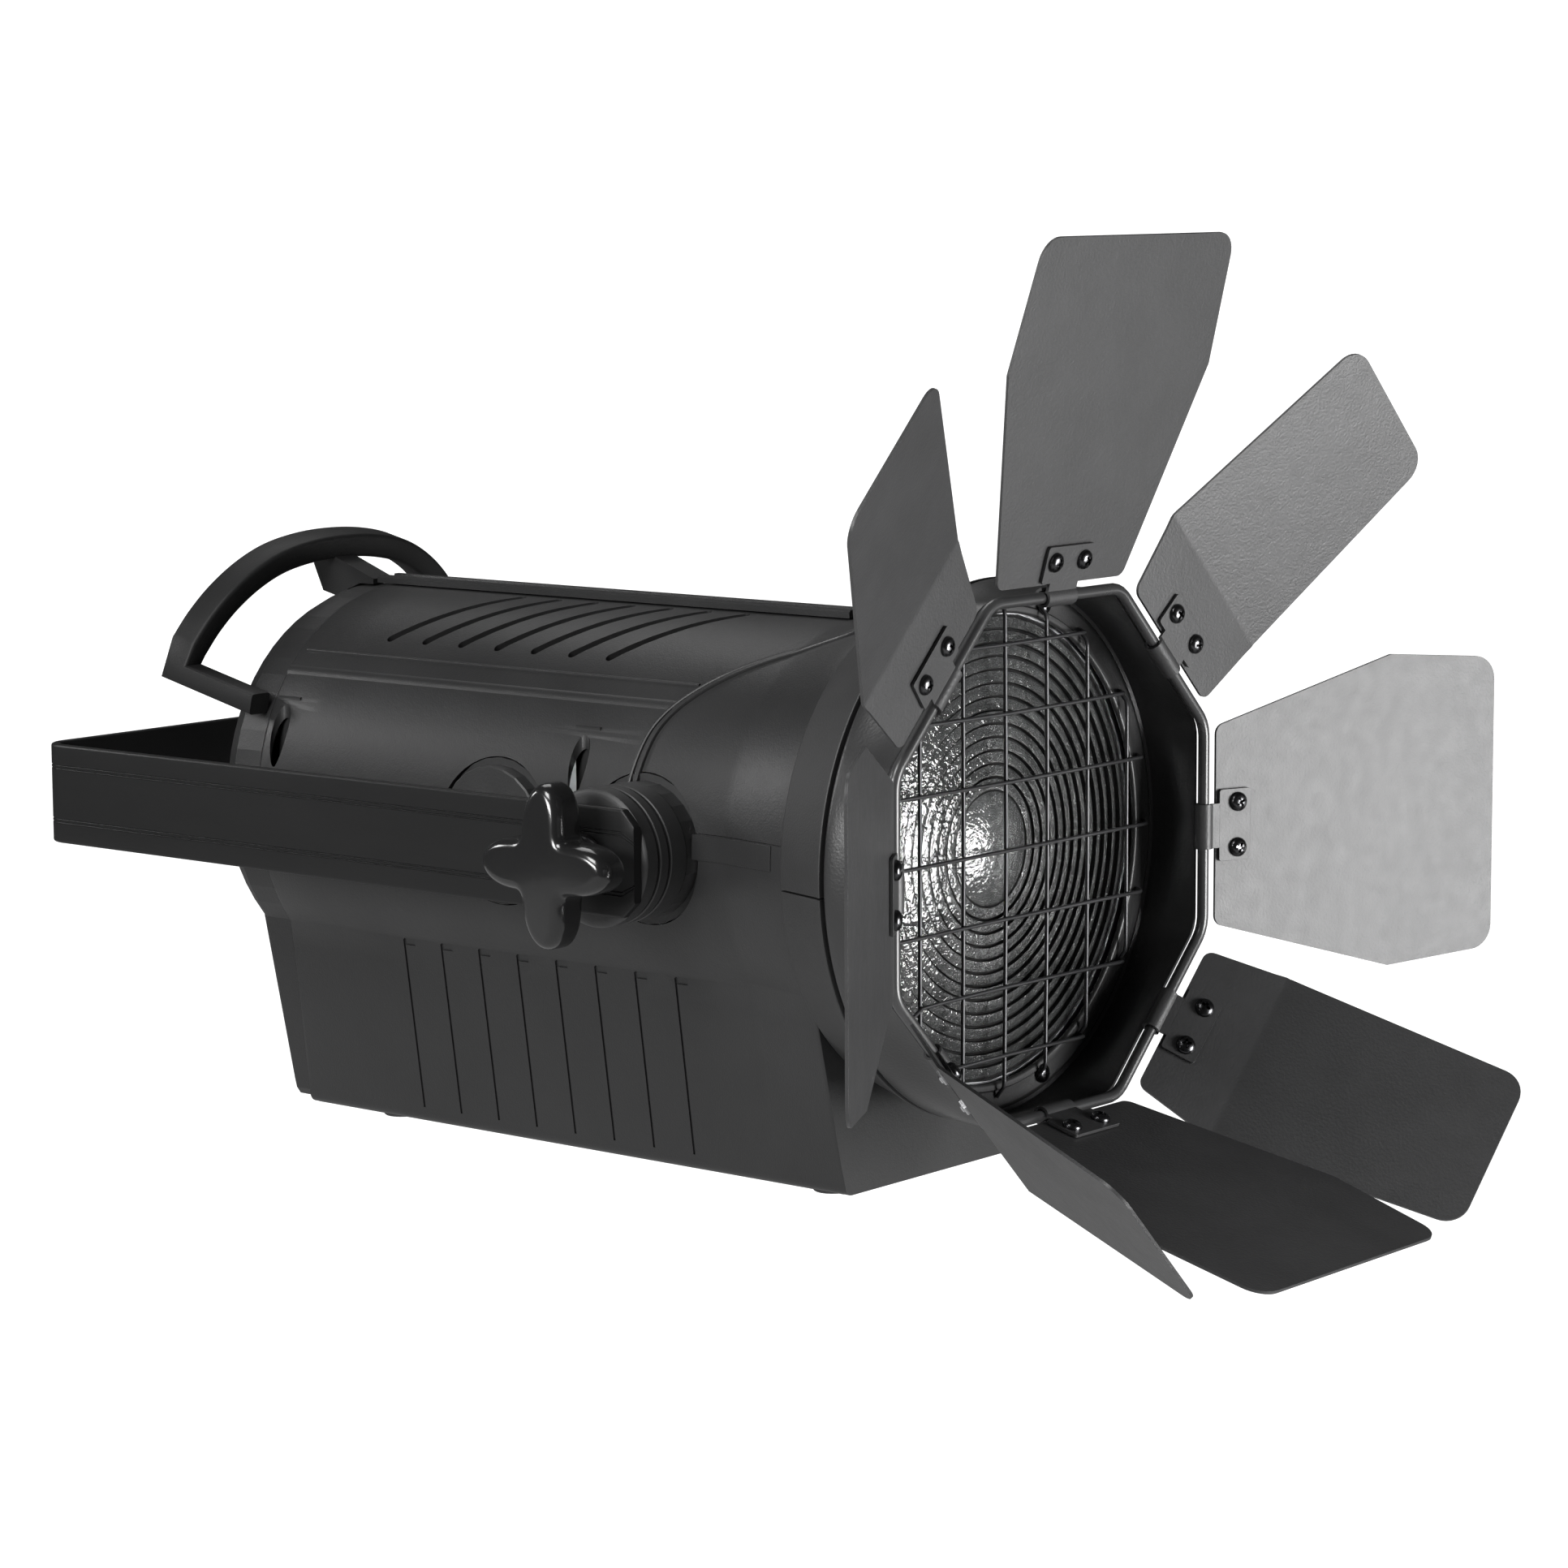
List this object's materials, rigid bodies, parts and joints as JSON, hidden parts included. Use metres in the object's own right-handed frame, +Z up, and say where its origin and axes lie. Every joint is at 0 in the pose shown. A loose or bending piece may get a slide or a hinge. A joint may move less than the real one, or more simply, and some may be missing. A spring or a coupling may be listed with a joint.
{
  "type": "fresnel spotlight",
  "caption": "Focusing studio spotlight: round-topped housing with a ringed lens, hinged barn-door leaves, rear handle and a U-shaped yoke that clamps it at any tilt.",
  "frame": {"origin": "centre of the stud hole in the yoke's back bar, on its outer face, with the optical axis at z = 0", "axes": "+Y from the lens towards the yoke's back, the beam leaves along -Y; +Z up; +X to the right of someone looking along +Y"},
  "size_m": [0.4535, 0.5853, 0.3802],
  "materials": {
    "cast_black": "satin black fine-textured powder coat on die-cast aluminium",
    "plate_black": "satin black powder coat",
    "sheet_black": "satin black powder coat",
    "leaf_black": "black orange-peel powder coat on sheet aluminium",
    "lens_glass": "clear moulded borosilicate with concentric rings and a pebbled back",
    "bare_alloy": "bare machined or extruded aluminium",
    "foot_rubber": "matt black rubber",
    "pivot_nylon": "black glass-filled nylon",
    "bright_steel": "ground steel",
    "wire_steel": "steel wire, rim lacquered black and guard bright plated",
    "board": "green solder resist",
    "emitter": "yellow phosphor over a white ceramic carrier",
    "fan_plastic": "black moulded plastic",
    "control_black": "black moulded plastic",
    "knob_black": "glossy black phenolic"
  },
  "bodies": {
    "yoke": {"yoke_bar": "sheet_black", "yoke_disc_left": "pivot_nylon", "yoke_disc_right": "pivot_nylon"},
    "housing": {"upper_shell": "cast_black", "lower_shell": "cast_black", "front_collar": "cast_black", "lens": "lens_glass", "lens_ring": "bare_alloy", "top_rail": "sheet_black", "rear_cover": "cast_black", "carry_handle": "cast_black", "base_plate": "plate_black", "foot_front_left": "foot_rubber", "foot_front_right": "foot_rubber", "foot_rear_left": "foot_rubber", "foot_rear_right": "foot_rubber", "pivot_block_left": "pivot_nylon", "pivot_block_right": "pivot_nylon", "pivot_cap_left": "pivot_nylon", "pivot_cap_right": "pivot_nylon", "guide_rod_left": "bright_steel", "guide_rod_right": "bright_steel", "power_supply": "bare_alloy", "driver_board": "board", "mains_inlet": "control_black"},
    "knob_left": {"tilt_knob_left": "knob_black"},
    "knob_right": {"tilt_knob_right": "knob_black"},
    "barn_door": {"barn_hood": "sheet_black", "rim_wire": "wire_steel", "wire_guard": "wire_steel"},
    "focus_carriage": {"led_plate": "bare_alloy", "led_emitter": "emitter", "heatsink": "bare_alloy", "fan_frame": "fan_plastic"},
    "focus_drive": {"focus_screw": "bright_steel", "focus_knob": "control_black"},
    "fan": {"fan_rotor": "fan_plastic"},
    "dimmer": {"dimmer_knob": "control_black"},
    "switch": {"power_switch": "control_black"},
    "door_right": {"leaf_right": "leaf_black", "clip_right": "sheet_black"},
    "door_upper_right": {"leaf_upper_right": "leaf_black", "clip_upper_right": "sheet_black"},
    "door_top": {"leaf_top": "leaf_black", "clip_top": "sheet_black"},
    "door_upper_left": {"leaf_upper_left": "leaf_black", "clip_upper_left": "sheet_black"},
    "door_left": {"leaf_left": "leaf_black", "clip_left": "sheet_black"},
    "door_lower_left": {"leaf_lower_left": "leaf_black", "clip_lower_left": "sheet_black"},
    "door_bottom": {"leaf_bottom": "leaf_black", "clip_bottom": "sheet_black"},
    "door_lower_right": {"leaf_lower_right": "leaf_black", "clip_lower_right": "sheet_black"}
  },
  "joints": [
    {"name": "yoke_tilt", "type": "hinge", "parent": "yoke", "child": "housing", "pos_m": [0, -0.3118, 0], "axis": [1, 0, 0], "range_deg": [-95, 95]},
    {"name": "tilt_knob_left_turn", "type": "hinge", "parent": "yoke", "child": "knob_left", "pos_m": [0, -0.3118, 0], "axis": [-1, 0, 0], "continuous": true},
    {"name": "tilt_knob_right_turn", "type": "hinge", "parent": "yoke", "child": "knob_right", "pos_m": [0, -0.3118, 0], "axis": [1, 0, 0], "continuous": true},
    {"name": "barn_door_turn", "type": "hinge", "parent": "housing", "child": "barn_door", "pos_m": [0, -0.4314, 0], "axis": [0, 1, 0], "continuous": true},
    {"name": "focus_turn", "type": "hinge", "parent": "housing", "child": "focus_drive", "pos_m": [0, -0.0684, -0.068], "axis": [0, 1, 0], "range_deg": [-901, 361]},
    {"name": "focus_slide", "type": "slide", "parent": "housing", "child": "focus_carriage", "axis": [0, 1, 0], "range_m": [-0.02, 0.05]},
    {"name": "fan_spin", "type": "hinge", "parent": "focus_carriage", "child": "fan", "pos_m": [0, -0.1944, 0], "axis": [0, 1, 0], "continuous": true},
    {"name": "dimmer_turn", "type": "hinge", "parent": "housing", "child": "dimmer", "pos_m": [0.03, -0.0724, -0.01], "axis": [0, 1, 0], "range_deg": [-150, 150]},
    {"name": "power_rocker", "type": "hinge", "parent": "housing", "child": "switch", "pos_m": [-0.03, -0.0794, -0.01], "axis": [1, 0, 0], "range_deg": [0, 14]},
    {"name": "leaf_right_hinge", "type": "hinge", "parent": "barn_door", "child": "door_right", "pos_m": [0.1, -0.4484, 0], "axis": [0, 0, 1], "range_deg": [-67.7, 31.3]},
    {"name": "leaf_upper_right_hinge", "type": "hinge", "parent": "barn_door", "child": "door_upper_right", "pos_m": [0.07071, -0.4484, 0.07071], "axis": [-0.7071, 0, 0.7071], "range_deg": [-83.2, 15.8]},
    {"name": "leaf_top_hinge", "type": "hinge", "parent": "barn_door", "child": "door_top", "pos_m": [0, -0.4484, 0.1], "axis": [-1, 0, 0], "range_deg": [-74, 25]},
    {"name": "leaf_upper_left_hinge", "type": "hinge", "parent": "barn_door", "child": "door_upper_left", "pos_m": [-0.07071, -0.4484, 0.07071], "axis": [-0.7071, 0, -0.7071], "range_deg": [-80.4, 18.6]},
    {"name": "leaf_left_hinge", "type": "hinge", "parent": "barn_door", "child": "door_left", "pos_m": [-0.1, -0.4484, 0], "axis": [0, 0, -1], "range_deg": [-58.3, 40.7]},
    {"name": "leaf_lower_left_hinge", "type": "hinge", "parent": "barn_door", "child": "door_lower_left", "pos_m": [-0.07071, -0.4484, -0.07071], "axis": [0.7071, 0, -0.7071], "range_deg": [-36.4, 62.6]},
    {"name": "leaf_bottom_hinge", "type": "hinge", "parent": "barn_door", "child": "door_bottom", "pos_m": [0, -0.4484, -0.1], "axis": [1, 0, 0], "range_deg": [-16.2, 82.8]},
    {"name": "leaf_lower_right_hinge", "type": "hinge", "parent": "barn_door", "child": "door_lower_right", "pos_m": [0.07071, -0.4484, -0.07071], "axis": [0.7071, 0, 0.7071], "range_deg": [-40.5, 58.5]}
  ],
  "couplings": [
    {"joint": "focus_turn", "follows": "focus_slide", "rad_per_m": -314.16}
  ]
}
